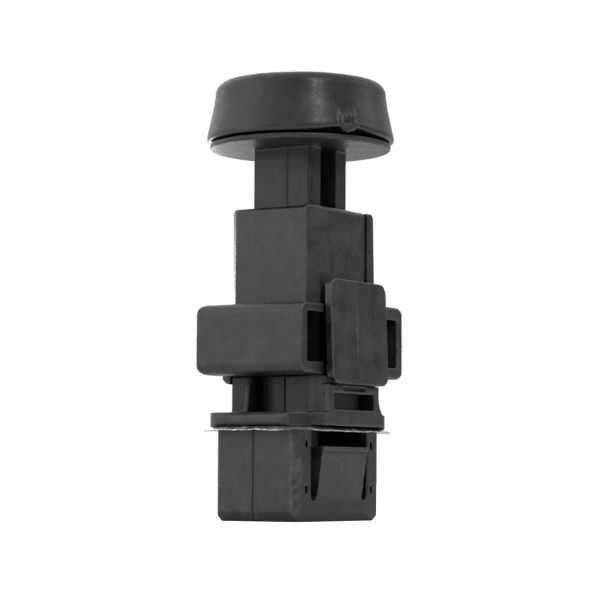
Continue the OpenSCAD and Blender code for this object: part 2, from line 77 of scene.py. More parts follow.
AZIMUTH = math.radians(33.0)
TILT = math.radians(4.574)
ROLL = math.radians(0.35)
DISTANCE = 352.35 * MM
EYE_HEIGHT = 6.34 * MM
SIDE_STEP = 0.078 * MM


def add_object(name, data):
    """A new object in the scene."""
    thing = bpy.data.objects.new(name, data)
    bpy.context.scene.collection.objects.link(thing)
    return thing


def make_camera():
    """A long lens, low down and tilted up at the part."""
    data = bpy.data.cameras.new("camera")
    data.sensor_width = 36.0
    data.lens = 135.0
    data.clip_start, data.clip_end = 0.01, 20.0
    camera = add_object("camera", data)
    flat_right = Vector((math.cos(AZIMUTH), math.sin(AZIMUTH), 0))
    level = math.cos(TILT)
    ahead = Vector((-math.sin(AZIMUTH) * level, math.cos(AZIMUTH) * level, math.sin(TILT)))
    flat_up = flat_right.cross(ahead)
    right = flat_right * math.cos(ROLL) + flat_up * math.sin(ROLL)
    up = flat_up * math.cos(ROLL) - flat_right * math.sin(ROLL)
    stand = Vector((math.sin(AZIMUTH), -math.cos(AZIMUTH), 0)) * DISTANCE
    place = stand + Vector((0, 0, EYE_HEIGHT)) + flat_right * SIDE_STEP
    turn = Matrix((right, up, -ahead)).transposed().to_4x4()
    camera.matrix_world = Matrix.Translation(place) @ turn
    bpy.context.scene.camera = camera


make_camera()


# ---- node helper --------------------------------------------------------------------------------

class Nodes:
    """Adds and links the nodes of one material or world."""

    def __init__(self, tree):
        self.tree = tree

    def feed(self, socket, value):
        """Links another node's output to the socket, or sets a constant on it."""
        if isinstance(value, bpy.types.NodeSocket):
            self.tree.links.new(value, socket)
        elif value is not None:
            socket.default_value = value

    def add(self, kind, inputs=(), **settings):
        node = self.tree.nodes.new("ShaderNode" + kind)
        for name, value in settings.items():
            setattr(node, name, value)
        for name, value in dict(inputs).items():
            self.feed(node.inputs[name], value)
        return node

    def math(self, operation, a, b=None, clamp=False):
        return self.add("Math", {0: a, 1: b}, operation=operation, use_clamp=clamp).outputs[0]

    def ramp(self, value, low, high, to_low=0.0, to_high=1.0):
        """Maps low..high to to_low..to_high, clamped, with soft ends."""
        node = self.add("MapRange", interpolation_type="SMOOTHSTEP")
        for index, fed in enumerate((value, low, high, to_low, to_high)):
            self.feed(node.inputs[index], fed)
        return node.outputs[0]

    def mix(self, factor, a, b):
        """Colour a where factor is 0, colour b where it is 1."""
        node = self.add("Mix", data_type="RGBA")
        self.feed(node.inputs[0], factor)
        self.feed(node.inputs[6], a)
        self.feed(node.inputs[7], b)
        return node.outputs[2]

    def blend(self, factor, a, b):
        """Number a where factor is 0, number b where it is 1."""
        return self.add("Mix", {0: factor, 2: a, 3: b}).outputs[0]

    def millimetres(self, stretch=(1, 1, 1)):
        """The piece's own coordinates, in millimetres, stretched along an axis on request."""
        scale = [s / MM for s in stretch]
        where = self.add("TexCoord").outputs["Object"]
        return self.add("VectorMath", {0: where, 1: scale}, operation="MULTIPLY").outputs[0]

    def noise(self, where, per_mm, detail=2.0, roughness=0.5):
        """Cloudy pattern between 0 and 1, with about per_mm features in a millimetre."""
        inputs = {"Vector": where, "Scale": per_mm, "Detail": detail, "Roughness": roughness}
        return self.add("TexNoise", inputs).outputs[0]


def grey(value, warm=0.0):
    """A grey, or a slightly yellow one."""
    return (value * (1 + warm), value, value * (1 - warm), 1.0)


# ---- studio -------------------------------------------------------------------------------------

def towards(azimuth, elevation=0.0):
    """The direction from the part to a place at that azimuth and elevation."""
    a, e = math.radians(azimuth), math.radians(elevation)
    return Vector((math.sin(a) * math.cos(e), -math.cos(a) * math.cos(e), math.sin(e)))


def area_light(name, azimuth, elevation, width, height, power, distance=0.5, aim_z=35 * MM):
    """A soft box that looks at the object. It doesn't show itself in the picture."""
    data = bpy.data.lights.new(name, "AREA")
    data.shape = "RECTANGLE"
    data.size, data.size_y = width, height
    data.energy = power
    lamp = add_object(name, data)
    back = towards(azimuth, elevation)
    lamp.location = Vector((0, 0, aim_z)) + back * distance
    lamp.rotation_mode = "QUATERNION"
    lamp.rotation_quaternion = back.to_track_quat("Z", "Y")
    lamp.visible_camera = False


def make_world(bright_azimuth, dim, bright, from_above):
    """A white room whose light is stronger on one side, from dim to bright, and adds from_above
    overhead. The backdrop itself stays evenly white."""
    world = bpy.data.worlds.new("studio")
    world.use_nodes = True
    world.node_tree.nodes.clear()
    n = Nodes(world.node_tree)
    where = n.add("TexCoord").outputs["Generated"]
    facing = n.add("VectorMath", {0: where, 1: towards(bright_azimuth)}, operation="DOT_PRODUCT")
    height = n.add("SeparateXYZ", {0: where}).outputs["Z"]
    sideways = n.ramp(facing.outputs["Value"], -1.0, 1.0, dim, bright)
    strength = n.math("ADD", sideways, n.ramp(height, 0.05, 0.5, 0.0, from_above))
    room = n.add("Background", {"Strength": strength}).outputs[0]
    backdrop = n.add("Background", {"Color": (1, 1, 1, 1), "Strength": 1.0}).outputs[0]
    room.node.inputs["Color"].default_value = (1, 1, 1, 1)
    seen = n.add("LightPath").outputs["Is Camera Ray"]
    both = n.add("MixShader", {0: seen, 1: room, 2: backdrop}).outputs[0]
    n.add("OutputWorld", {"Surface": both})
    bpy.context.scene.world = world


def make_floor(reach=3.0, socket_x=7 * MM, socket_y=11.4 * MM):
    """A white floor. socket_x and socket_y are half the size of the socket's mouth."""
    mesh = bpy.data.meshes.new("floor")
    corners = [(-reach, -reach, 0), (reach, -reach, 0), (reach, reach, 0), (-reach, reach, 0)]
    mesh.from_pydata(corners, [], [(0, 1, 2, 3)])
    floor = add_object("floor", mesh)
    mat = bpy.data.materials.new("floor_white")
    mat.use_nodes = True
    n = Nodes(mat.node_tree)
    shader = mat.node_tree.nodes["Principled BSDF"]
    shader.inputs["Base Color"].default_value = grey(0.78)
    shader.inputs["Roughness"].default_value = 0.9
    shader.inputs["Emission Color"].default_value = grey(1.0)
    seen = n.add("LightPath").outputs["Is Camera Ray"]
    # no glow inside the open socket that stands on it
    spot = n.add("SeparateXYZ", {0: n.add("TexCoord").outputs["Object"]}).outputs
    across_x = n.math("DIVIDE", n.math("ABSOLUTE", spot["X"]), socket_x)
    across_y = n.math("DIVIDE", n.math("ABSOLUTE", spot["Y"]), socket_y)
    outside = n.ramp(n.math("MAXIMUM", across_x, across_y), 1.0, 1.02)
    glow = n.ramp(seen, 0.0, 1.0, to_low=0.05, to_high=0.8)
    n.feed(shader.inputs["Emission Strength"], n.math("MULTIPLY", glow, outside))
    # the floor is open from below, so that the underside can be looked at
    below = n.add("NewGeometry").outputs["Backfacing"]
    clear = n.add("BsdfTransparent").outputs[0]
    either = n.add("MixShader", {0: below, 1: shader.outputs[0], 2: clear}).outputs[0]
    n.feed(mat.node_tree.nodes["Material Output"].inputs["Surface"], either)
    mesh.materials.append(mat)


bpy.context.scene.view_settings.view_transform = "Standard"
make_world(-80, dim=0.17, bright=1.06, from_above=0.36)
# name, azimuth, elevation, width and height in metres, power in watts
area_light("key", -35, 14, 0.3, 0.3, 0.25)
area_light("strip", 57, 36, 0.045, 0.30, 0.56)
area_light("right_back", 131, 30, 0.25, 0.25, 0.22)
area_light("low_back", -122, -8, 0.03, 0.015, 0.007, distance=0.07, aim_z=54 * MM)
make_floor()


# ---- materials ----------------------------------------------------------------------------------

class Finish(Nodes):
    """A procedural Principled material."""

    def __init__(self, name, **constants):
        self.material = bpy.data.materials.new(name)
        self.material.use_nodes = True
        super().__init__(self.material.node_tree)
        self.shader = self.tree.nodes["Principled BSDF"]
        for socket, value in constants.items():
            self.shader.inputs[socket.replace("_", " ")].default_value = value

    def set(self, socket, value):
        self.feed(self.shader.inputs[socket], value)

    def bump(self, height, depth_mm, strength=1.0):
        """Fine relief, from a height between 0 and 1."""
        inputs = {"Height": height, "Distance": depth_mm * MM, "Strength": strength}
        self.set("Normal", self.add("Bump", inputs).outputs[0])

    def hollow(self, reach_mm):
        """1 on open surfaces, falling to 0 deep in corners and slots; the materials paint shade
        with it.
        """
        node = self.add("AmbientOcclusion", {"Distance": reach_mm * MM}, samples=6)
        return node.outputs["AO"]

    def painted(self, name):
        """A value that the shape code painted on the mesh; 0 where nothing is painted."""
        return self.add("Attribute", attribute_name=name).outputs["Fac"]

    def specks(self, where, per_mm, radius, share):
        """1 inside a tiny spot of that radius, in millimetres; share of the cells have one."""
        cells = self.add("TexVoronoi", {"Vector": where, "Scale": per_mm, "Randomness": 1.0})
        dice = self.add("SeparateColor", {0: cells.outputs["Color"]}).outputs[0]
        chosen = self.ramp(dice, 1 - share, 1.001 - share)
        spot = self.ramp(cells.outputs["Distance"], radius * per_mm, 0.4 * radius * per_mm)
        return self.math("MULTIPLY", chosen, spot)


# tones of worn edges with their painted highlight, of dust, and of painted shade
WORN_AND_HIGHLIGHT_TONE, DUST_TONE, PAINTED_SHADE_TONE = grey(0.07), grey(0.25, 0.02), grey(0.001)


def moulded(name, dark, light, rough, grain=2.4, grain_depth=0.006, streaks=0.22, dust=0.06,
            shine=0.5, deep=0.4):
    """Moulded black plastic or rubber: mottled tone, fine grain, drawn streaks, dust, worn edges
    that also carry a painted highlight, and painted shade where the shape code marks it and deep in
    corners. grain is its features in a millimetre, dust the share of cells with a speck, and deep
    the share of the dark tone that is left in the painted shade deep in corners."""
    f = Finish(name, Specular_IOR_Level=shine)
    where = f.millimetres()
    along_z = f.millimetres(stretch=(1.3, 1.3, 0.10))
    cloudy = f.noise(where, per_mm=0.35, detail=4.0, roughness=0.6)
    drawn = f.noise(along_z, per_mm=1.1, detail=3.0, roughness=0.6)
    fine = f.noise(where, per_mm=grain, detail=3.0, roughness=0.65)
    mottle = f.blend(streaks, cloudy, drawn)
    tone = f.mix(f.ramp(mottle, 0.30, 0.70), grey(dark), grey(light))
    # worn edges painted paler, partly real rubbing and partly a painted highlight
    rubbed_and_highlit = f.math("MULTIPLY", f.painted("wear_and_highlight"), f.ramp(fine, 0.25, 0.6, 0.3, 1.0))
    tone = f.mix(rubbed_and_highlit, tone, WORN_AND_HIGHLIGHT_TONE)
    speckled = f.math("MULTIPLY", f.specks(where, per_mm=0.6, radius=0.05, share=dust), 0.7)
    tone = f.mix(speckled, tone, DUST_TONE)
    # painted shade: near-black tone where the shape code painted shade
    tone = f.mix(f.painted("painted_shade"), tone, PAINTED_SHADE_TONE)
    # painted shade: the tone darkens deep in corners and slots, by ambient occlusion
    open_air = f.hollow(reach_mm=3.0)
    tone = f.mix(f.ramp(open_air, 0.10, 0.70), grey(dark * deep), tone)
    f.set("Base Color", tone)
    # painted shade: where shade is painted, the reflection is dimmed too
    f.set("Specular Tint", f.mix(f.painted("painted_shade"), grey(1.0), grey(0.12)))
    gloss = f.ramp(fine, 0.3, 0.7, rough - 0.05, rough + 0.07)
    f.set("Roughness", f.math("ADD", gloss, f.ramp(mottle, 0.35, 0.65, -0.04, 0.05), clamp=True))
    height = f.blend(0.45, fine, f.noise(where, per_mm=grain * 0.3))
    f.bump(height, depth_mm=grain_depth)
    return f.material


def silicone(name):
    """Smoky, half clear silicone with pale patches, for the sealing lip."""
    f = Finish(name, Transmission_Weight=0.45, IOR=1.41)
    where = f.millimetres()
    smoky, thinner, pale = (0.10, 0.10, 0.099, 1), (0.18, 0.18, 0.177, 1), (0.62, 0.62, 0.61, 1)
    cloud = f.noise(where, per_mm=0.4, detail=3.0)
    patches = f.noise(f.millimetres(stretch=(1, 1, 0.3)), per_mm=0.5, roughness=0.6)
    tone = f.mix(f.ramp(cloud, 0.35, 0.65), smoky, thinner)
    f.set("Base Color", f.mix(f.ramp(patches, 0.52, 0.70), tone, pale))
    f.set("Roughness", f.ramp(cloud, 0.3, 0.7, 0.18, 0.3))
    f.bump(f.noise(where, per_mm=1.6), depth_mm=0.006)
    return f.material


def metal(name, colour, tarnish, rough, brushed=(1, 1, 1), per_mm=6.0):
    """Metal with tarnish in patches and fine lines along its length, and painted shade, near black,
    deep in corners.
    """
    f = Finish(name, Metallic=1.0)
    where = f.millimetres()
    patch = f.noise(where, per_mm=0.5, detail=4.0, roughness=0.6)
    lines = f.noise(f.millimetres(stretch=brushed), per_mm, detail=3.0, roughness=0.6)
    tone = f.mix(f.ramp(patch, 0.35, 0.7), (*colour, 1), (*tarnish, 1))
    # painted shade: near black deep in corners and slots
    open_air = f.ramp(f.hollow(reach_mm=6.0), 0.2, 0.9, 0.03, 1.0)
    f.set("Base Color", f.mix(open_air, grey(0.0), tone))
    f.set("Roughness", f.ramp(lines, 0.3, 0.7, rough - 0.07, rough + 0.1))
    f.bump(lines, depth_mm=0.004)
    return f.material


def resin(name, dark, light, rough, per_mm):
    """Filled or cast resin with a speckle."""
    f = Finish(name)
    where = f.millimetres()
    speckle = f.noise(where, per_mm, detail=4.0, roughness=0.7)
    f.set("Base Color", f.mix(f.ramp(speckle, 0.35, 0.65), (*dark, 1), (*light, 1)))
    f.set("Roughness", f.ramp(f.noise(where, per_mm=1.2), 0.3, 0.7, rough - 0.06, rough + 0.08))
    f.bump(speckle, depth_mm=0.008)
    return f.material


UPRIGHT = (1.0, 1.0, 0.05)    # stretch that draws lines out along Z

# moulded: dark tone, light tone, roughness; metal: colour, tarnish, roughness;
# resin: dark tone, light tone, roughness, specks in a millimetre
FINISH = {
    "black_nylon": moulded("black_nylon", 0.004, 0.026, 0.38),
    # painted shade: the stem's nylon is a darker copy of the black nylon, for the shade under the
    # cap, with stronger drawn streaks
    "shaded_plunger_nylon": moulded("shaded_plunger_nylon", 0.003, 0.022, 0.40, streaks=0.5, shine=0.40),
    # painted light: the barrel's nylon is a paler copy of the black nylon, with no painted corner
    # shade, for the light in its recess
    "lit_barrel_nylon": moulded("lit_barrel_nylon", 0.020, 0.030, 0.5, deep=1.0),
    "cap_rubber": moulded("cap_rubber", 0.008, 0.017, 0.34, grain=1.7, grain_depth=0.008,
                          streaks=0.15, dust=0.2, shine=0.42),
    "seal_silicone": silicone("seal_silicone"),
    "spring_steel": metal("spring_steel", (0.60, 0.60, 0.61), (0.38, 0.38, 0.40), 0.25, per_mm=9.0),
    "carrier_nylon": resin("carrier_nylon", (0.55, 0.52, 0.43), (0.66, 0.63, 0.53), 0.5, 2.0),
    "contact_bronze": metal("contact_bronze", (0.78, 0.50, 0.28), (0.52, 0.32, 0.18), 0.3),
    "contact_silver": metal("contact_silver", (0.88, 0.87, 0.84), (0.62, 0.60, 0.56), 0.25),
    "tinned_brass": metal("tinned_brass", (0.50, 0.49, 0.47), (0.34, 0.32, 0.29), 0.4,
                          brushed=UPRIGHT),
    "block_resin": resin("block_resin", (0.15, 0.145, 0.135), (0.24, 0.23, 0.215), 0.5, 3.0),
    "o_ring_rubber": moulded("o_ring_rubber", 0.012, 0.022, 0.4, streaks=0.1),
    "potting_resin": resin("potting_resin", (0.09, 0.07, 0.045), (0.14, 0.11, 0.07), 0.25, 0.8),
}


# ---- shape helpers ------------------------------------------------------------------------------


def evaluated(thing):
    """A new mesh: the object's own with its modifiers applied."""
    bpy.context.view_layer.update()
    finished = thing.evaluated_get(bpy.context.evaluated_depsgraph_get())
    return bpy.data.meshes.new_from_object(finished)


def read(mesh, field):
    """A vector field of the mesh's points, one row for each point."""
    values = np.empty(len(mesh.vertices) * 3)
    mesh.vertices.foreach_get(field, values)
    return values.reshape(-1, 3)


def kept_in(points):
    """The points, kept within the overall size of the part."""
    return np.clip(points, np.array(cad_low) / MM, np.array(cad_high) / MM)


def write(mesh, points):
    """Moves the mesh's points."""
    mesh.vertices.foreach_set("co", points.ravel())
    mesh.update()


def ripple(points, length, seed):
    """A smooth pattern between about -1 and 1, with features of the given length."""
    dice = np.random.default_rng(seed)
    total = np.zeros(len(points))
    waves = 8
    for _ in range(waves):
        way = dice.normal(size=3)
        way *= 2 * math.pi * dice.uniform(0.6, 1.5) / (length * np.linalg.norm(way))
        total += np.sin(points @ way + dice.uniform(0, 2 * math.pi))
    return total / math.sqrt(waves)


def hump(distance, width):
    """1 at distance 0, falling off smoothly on both sides."""
    return np.exp(-((distance / width) ** 2))


def between(value, low, high, soft):
    """1 between low and high, falling off over soft on either side."""
    return 1 / (1 + np.exp((low - value) / soft)) / (1 + np.exp((value - high) / soft))


def paint(mesh, name, values):
    """Stores one value between 0 and 1 for each point, for a material to read."""
    layer = mesh.attributes.new(name, "FLOAT", "POINT")
    layer.data.foreach_set("value", np.clip(values, 0, 1).astype(np.float32))


def paint_wear_and_highlight(mesh, bend_low, bend_high, scuff=None):
    """Paints worn edges, with a painted highlight on them, where the surface bends outwards: none
    up to bend_low, in 1/mm, and full from bend_high. The last argument, a function of the points,
    adds more of it elsewhere."""
    points, normals = read(mesh, "co"), read(mesh, "normal")
    ends = np.empty(len(mesh.edges) * 2, int)
    mesh.edges.foreach_get("vertices", ends)
    a, b = ends.reshape(-1, 2).T
    step = points[a] - points[b]
    bend = np.sum((normals[a] - normals[b]) * step, 1) / np.maximum(np.sum(step * step, 1), 1e-6)
    total, count = np.zeros(len(points)), np.zeros(len(points))
    for end in (a, b):
        np.add.at(total, end, np.maximum(bend, 0))
        np.add.at(count, end, 1)
    wear_and_highlight = (total / np.maximum(count, 1) - bend_low) / (bend_high - bend_low)
    paint(mesh, "wear_and_highlight", np.maximum(wear_and_highlight, scuff(points)) if scuff else wear_and_highlight)


def stand_in(piece, node, slot, finish=None):
    """piece is what shows for the CAD node, with that slot's finish."""
    piece.data.materials.clear()
    piece.data.materials.append(FINISH[finish or slot])
    piece.data.polygons.foreach_set("use_smooth", [True] * len(piece.data.polygons))
    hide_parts(node)
    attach(piece, BODY_OF[node])
    return piece


def box_mesh(low, high):
    """A plain box between two corners."""
    mesh = bpy.data.meshes.new("filler")
    corners = [[(low, high)[(i >> axis) & 1][axis] for axis in range(3)] for i in range(8)]
    sides = [(0, 2, 3, 1), (4, 5, 7, 6), (0, 1, 5, 4), (2, 6, 7, 3), (0, 4, 6, 2), (1, 3, 7, 5)]
    mesh.from_pydata(corners, [], sides)
    return mesh


def grid_faces(rings, rows, rings_close=False, rows_close=False):
    """Four-sided faces between neighbouring rings of points. rings_close joins the last ring to the
    first one, rows_close the last point of each ring to its first."""
    faces = []
    for i in range(rings if rings_close else rings - 1):
        j = (i + 1) % rings
        for k in range(rows if rows_close else rows - 1):
            m = (k + 1) % rows
            faces.append((i * rows + k, j * rows + k, j * rows + m, i * rows + m))
    return faces


def moulded_piece(name, node, voxel, passes, keep, relief=None, fillers=(), painted_shade=None, scuff=None,
                  finish=None):
    """A black moulding with the CAD node's form, its edges softened as a mould leaves them.

    voxel is the remesh size in millimetres, passes how often it is smoothed, and keep the share of
    the faces that stay. relief(points, normals) gives how far each point moves along its normal, in
    millimetres. Of the two functions of the points that follow fillers, the first gives how much
    painted shade each point gets, the second how much worn pale edge and painted highlight. fillers
    are boxes, as pairs of corners, that are fused with it."""
    form = bmesh.new()
    form.from_mesh(frame["nodes"][node].data)
    bmesh.ops.scale(form, vec=Vector((1, 1, 1)) / MM, verts=form.verts)
    for low, high in fillers:
        form.from_mesh(box_mesh(low, high))
    mesh = bpy.data.meshes.new(name)
    form.to_mesh(mesh)
    form.free()
    work = add_object(name, mesh)
    remesh = work.modifiers.new("remesh", "REMESH")
    remesh.mode = "VOXEL"
    remesh.voxel_size = voxel * 1.0
    smooth = work.modifiers.new("smooth", "SMOOTH")
    smooth.factor, smooth.iterations = 0.5, passes
    mesh = evaluated(work)
    points, normals = read(mesh, "co"), read(mesh, "normal")
    lift = 0.012 * ripple(points, 6.0, seed=3) + 0.005 * ripple(points, 1.7, seed=4)
    if relief:
        lift = lift + relief(points, normals)
    write(mesh, kept_in(points + normals * lift[:, None]))
    work.modifiers.clear()
    work.data = mesh
    thin = work.modifiers.new("thin", "DECIMATE")
    thin.ratio = keep
    mesh = evaluated(work)
    work.modifiers.clear()
    paint_wear_and_highlight(mesh, bend_low=0.6, bend_high=2.6, scuff=scuff)
    # painted shade, stored on the mesh for the material to darken
    if painted_shade:
        paint(mesh, "painted_shade", painted_shade(read(mesh, "co")))
    mesh.transform(Matrix.Scale(MM, 4))
    work.data = mesh
    mesh.name = name
    return stand_in(work, node, "black_nylon", finish)


# ---- black mouldings ----------------------------------------------------------------------------
# Places and heights are in millimetres, where the CAD nodes have them.

SEAM_X = -0.42              # parting line of the socket
SOCKET_SIDE_Y = 11.0        # the socket's narrow sides lie beyond it, on both sides
NECK_Z = (16.9, 22.2)
WING_HOLLOW_Z = (24.0, 31.9)
HOUSING_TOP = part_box("upper_housing")[1].z / MM


def socket_relief(points, normals):
    """Parting line down both narrow sides, with its flash nub at the foot."""
    x, y, z = points.T
    on_side = (np.abs(normals[:, 1]) > 0.6) & (np.abs(y) > SOCKET_SIDE_Y) & (z < 14.2)
    ridge, groove = 0.04 * hump(x + 0.1, 0.16), 0.11 * hump(x - SEAM_X, 0.14)
    nub = hump(x - 0.1, 0.45) * hump(z - 0.5, 0.45) * (np.abs(y) > SOCKET_SIDE_Y - 0.2)
    return on_side * (ridge - groove) + 0.28 * nub


def socket_painted_shade(points):
    """Painted shade in the parting-line groove and the four core-pin marks, behind the window, and
    on the neck under the wings.
    """
    x, y, z = points.T
    mark_y, mark_low, mark_high = 9.4, 4.9, 11.8
    # painted shade in the parting-line groove
    seam = 0.9 * hump(x - SEAM_X, 0.13) * (np.abs(y) > SOCKET_SIDE_Y) * (z < 14.0)
    from_mark_z = np.minimum(np.abs(z - mark_low), np.abs(z - mark_high))
    by_mark = (np.abs(np.abs(y) - mark_y) < 0.5) & (from_mark_z < 0.9) & (x > 6.3) & (x < 7.5)
    behind_window = (x > 6.5) & (x < 8.9) & (np.abs(y) < 5.85) & (z > 16.7) & (z < 21.2)
    # painted shade on the neck under the wings
    under_wings = between(z, *NECK_Z, 0.1) * (x < 6.6)
    spots = np.maximum(by_mark, 0.7 * behind_window)
    return np.maximum(np.maximum(seam, spots), 0.3 * under_wings)


def wing_painted_shade(points):
    """Painted shade: the hollows of the wings, and the housing behind the thumb plate and at its
    cut corner, are painted dark and dull.
    """
    x, y, z = points.T
    in_hollow = (np.abs(y) > 8.0) & (np.abs(y) < 12.95) & (np.abs(x) < 9.6)
    behind_plate = (x > 7.9) & (x < 9.0) & (np.abs(y) < 8.3)
    cut_corner = (x - y > 13.8) & (x > 5.5) & (x < 8.6) & (y > -8.6)
    at_height = (z > WING_HOLLOW_Z[0]) & (z < WING_HOLLOW_Z[1])
    return 1.0 * ((in_hollow | behind_plate | cut_corner) & at_height)


def socket_scuff(points):
    """The socket's front corner is worn pale in broken patches, partly real and partly a painted
    highlight; the neck's front leg gets a painted highlight.
    """
    x, y, z = points.T
    at_corner = (x > 5.9) & (y < -10.8) & (z < 13.9)
    outwards = (x - y) / math.sqrt(2)
    broken = np.clip(0.6 + 0.4 * ripple(points, 1.6, seed=61), 0, 1)
    corner = at_corner * between(outwards, 12.9, 14.5, 0.1) * broken
    # painted highlight on the neck's front leg
    leg = (y < -6.2) * between(x, 6.9, 9.5, 0.3) * between(z, *NECK_Z, 0.2)
    return np.maximum(corner, 0.3 * leg * (0.8 + 0.2 * ripple(points, 1.4, seed=62)))


def housing_relief(points, normals):
    """Thin flash lines where the mould's slides met, along the cut front corner."""
    x, y, z = points.T
    outwards, across = (x - y) / math.sqrt(2), (x + y) / math.sqrt(2)
    at_corner, over_wings = outwards > 10.0, z > 33
    lines = hump(np.abs(across) - 1.05, 0.13) * (0.6 + 0.4 * ripple(points, 2.2, seed=11))
    ragged = 0.7 + 0.5 * ripple(points, 1.1, seed=12)
    flash = hump(z - HOUSING_TOP, 0.5) * hump(np.abs(across) - 1.0, 0.45) * ragged
    return at_corner * (0.05 * lines * over_wings + 0.16 * flash)


def collar_relief(points, normals):
    """A faint parting ridge round the wings at half height."""
    x, y, z = points.T
    middle = 27.7
    return 0.05 * hump(z - middle, 0.16) * (np.abs(normals[:, 0]) > 0.7) * (np.abs(y) > 8)


def latch_relief(points, normals):
    """Parting ridge and gate scar on the thumb plate's face."""
    x, y, z = points.T
    face = normals[:, 0] > 0.6
    ridge_y, gate_z = -1.25, 28.7
    broken = 0.55 + 0.45 * np.clip(ripple(points, 3.1, seed=21) + 0.4, 0, 1)
    ridge = 0.11 * hump(y - ridge_y, 0.15) * between(z, 24.0, 36.6, 0.5) * broken
    scar_size = 0.5 + 0.15 * ripple(points, 0.8, seed=22)
    from_gate = np.hypot(y - ridge_y, (z - gate_z) * 0.7)
    scar = 0.24 * hump(from_gate - 0.2, scar_size * 0.6) - 0.22 * hump(from_gate, 0.22)
    return face * (ridge + scar)


def tongue_relief(points, normals):
    """Round ejector mark in the middle of the lock tongue."""
    x, y, z = points.T
    face = normals[:, 0] > 0.6
    mark_z = 8.3
    from_mark = np.hypot(y, z - mark_z)
    open_side = between(z - y, 7.4, 20.0, 0.3)
    return face * (0.06 * hump(from_mark - 1.05, 0.14) * open_side - 0.02 * (from_mark < 1.0))


def plunger_relief(points, normals):
    """Slight unevenness of the stem's front corner."""
    x, y, z = points.T
    outwards = (x - y) / math.sqrt(2)
    on_stem = (outwards > 6.6) & (z < 57.8)
    return 0.015 * on_stem * ripple(points, 1.4, seed=31)


# the tongue's root web, which closes the seat that the tongue bends in
tongue_low, tongue_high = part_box("lock_tongue")
web_y, web_z = tongue_high.y / MM - 0.1, tongue_low.z / MM + 0.7
root_web = ((6.5, -web_y, web_z - 0.9), (7.6, web_y, web_z + 0.45))

# name, node, voxel, passes, keep
moulded_piece("housing_shell", "upper_housing", 0.16, 3, 0.3, housing_relief, painted_shade=wing_painted_shade)
moulded_piece("bayonet_collar", "mounting_collar", 0.16, 4, 0.3, collar_relief, painted_shade=wing_painted_shade)
moulded_piece("thumb_latch", "latch_arm", 0.10, 5, 0.4, latch_relief)
moulded_piece("neck_and_socket", "lower_body", 0.15, 3, 0.3, socket_relief, [root_web],
              painted_shade=socket_painted_shade, scuff=socket_scuff)
moulded_piece("tongue", "lock_tongue", 0.10, 4, 0.4, tongue_relief)
moulded_piece("plunger_stem", "plunger", 0.15, 3, 0.3, plunger_relief, finish="shaded_plunger_nylon")
moulded_piece("inner_barrel", "contact_barrel", 0.16, 3, 0.3, finish="lit_barrel_nylon")


# ---- bumper cap ---------------------------------------------------------------------------------

CAP_BRIM, CAP_CORE = 14.68, 11.5    # radii of the brim and of the opening
CAP_GATE = math.radians(-27)        # where round the brim the moulding gate was
GATE_HEIGHT = 1.5                   # of its middle, over the brim's edge


def smooth_line(points, steps):
    """A smooth curve through the points, as Catmull-Rom pieces."""
    p = [np.array(q, float) for q in [points[0], *points, points[-1]]]
    line = []
    for a, b, c, d in zip(p, p[1:], p[2:], p[3:]):
        square, cube = 2 * a - 5 * b + 4 * c - d, 3 * b - a - 3 * c + d
        for i in range(steps):
            t = i / steps
            line.append(0.5 * (2 * b + (c - a) * t + square * t ** 2 + cube * t ** 3))
    return [*line, p[-1]]


def arc_line(centre, radius, start, end, steps):
    """Points along an arc between two angles in degrees."""
    x, y = centre
    angles = np.radians(np.linspace(start, end, steps + 1))
    return [np.array((x + radius * math.cos(a), y + radius * math.sin(a))) for a in angles]


def cap_outline(foot, rim, top):
    """The cap's section as (radius, height), from inside the roof down to the brim and up again."""
    axis, ceiling = 0.02, foot + 7.3
    wall = smooth_line([
        (CAP_BRIM, rim + 0.95), (CAP_BRIM - 0.12, rim + 1.5), (CAP_BRIM - 0.42, rim + 2.9),
        (CAP_BRIM - 0.75, rim + 4.4), (CAP_BRIM - 0.98, rim + 5.6), (CAP_BRIM - 1.22, top - 2.2)
    ], 4)
    roof = smooth_line([
        (CAP_BRIM - 3.1, top - 0.22), (9.4, top - 0.02), (6, top), (3, top), (axis, top)
    ], 4)
    inside = [
        (axis, ceiling), (CAP_CORE - 0.6, ceiling), (CAP_CORE, foot + 6.8), (CAP_CORE, foot),
        (CAP_BRIM - 1.5, foot), (CAP_BRIM - 1.25, rim)
    ]
    return [
        *[np.array(q) for q in inside],
        *arc_line((CAP_BRIM - 0.5, rim + 0.5), 0.5, -90, -8, 6),
        *wall,
        *arc_line((CAP_BRIM - 3.15, top - 2.15), 1.93, 6, 84, 9),
        *roof
    ]


def gate_mark(reach, over_rim):
    """How far the gate pushed the brim out and up, at reach millimetres round the brim from it."""
    up = over_rim - GATE_HEIGHT
    blob = math.exp(-((reach / 1.35) ** 4) - ((up / 1.75) ** 4))
    ring = math.exp(-((math.hypot(reach, up * 0.85) - 1.0) / 0.3) ** 2)
    pit = math.exp(-(math.hypot(reach - 0.2, up + 0.2) / 0.45) ** 2)
    # the brim has crept up on both sides of the gate
    rise = 0.8 * math.exp(-(reach / 4.6) ** 2) * (1 - math.exp(-((reach / 1.3) ** 4)))
    rise *= math.exp(-max(0, over_rim) / 2.0)
    return 0.42 * blob + 0.12 * ring - 0.16 * pit, rise


